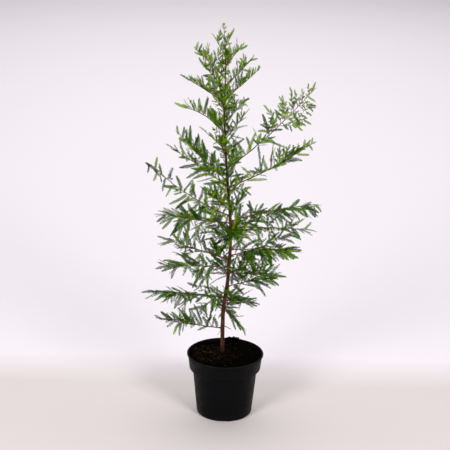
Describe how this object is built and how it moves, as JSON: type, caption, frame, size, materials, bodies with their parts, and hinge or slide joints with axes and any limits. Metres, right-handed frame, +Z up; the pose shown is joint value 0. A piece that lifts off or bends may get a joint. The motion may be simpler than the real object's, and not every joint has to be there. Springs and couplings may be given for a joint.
{
  "type": "potted bald cypress",
  "caption": "Young bald cypress with a slender leaning trunk, tiers of thin boughs and feathery needle sprays, growing in a round black nursery pot.",
  "frame": {"origin": "centre of the pot's flat underside, on the ground", "axes": "+Z up along the plant's height; +X to the right and +Y away from the viewer as in the picture; the plant's widest spread is along X"},
  "size_m": [0.6411, 0.4886, 1.4529],
  "materials": {
    "pot": "black moulded polypropylene with a soft satin sheen",
    "soil": "dark moist bark compost, rough and matte",
    "bark": "reddish brown fibrous bark, matte",
    "needles": "soft fresh green needles, matte"
  },
  "bodies": {
    "root": {"pot": "pot", "soil": "soil", "trunk": "bark", "bough_05": "bark", "bough_10": "bark", "bough_11": "bark", "bough_13": "bark", "bough_17": "bark", "bough_18": "bark", "bough_19": "bark", "bough_20": "bark", "bough_25": "bark", "bough_28": "bark", "foliage_01": "needles", "foliage_02": "needles", "foliage_03": "needles", "foliage_04": "needles", "foliage_05": "needles", "foliage_06": "needles", "foliage_07": "needles", "foliage_08": "needles", "foliage_09": "needles", "foliage_10": "needles", "foliage_11": "needles", "foliage_12": "needles", "foliage_13": "needles", "foliage_14": "needles", "foliage_15": "needles", "foliage_16": "needles", "foliage_17": "needles", "foliage_18": "needles", "foliage_19": "needles", "foliage_20": "needles", "foliage_21": "needles", "foliage_22": "needles", "foliage_23": "needles", "foliage_24": "needles", "foliage_25": "needles", "foliage_26": "needles", "foliage_27": "needles", "foliage_28": "needles", "foliage_29": "needles", "foliage_30": "needles", "foliage_31": "needles", "foliage_32": "needles", "foliage_33": "needles", "foliage_34": "needles", "foliage_35": "needles", "foliage_36": "needles", "foliage_37": "needles", "foliage_38": "needles", "foliage_39": "needles", "foliage_40": "needles", "foliage_41": "needles", "foliage_42": "needles", "foliage_43": "needles", "foliage_44": "needles", "foliage_45": "needles", "foliage_46": "needles"}
  },
  "joints": []
}
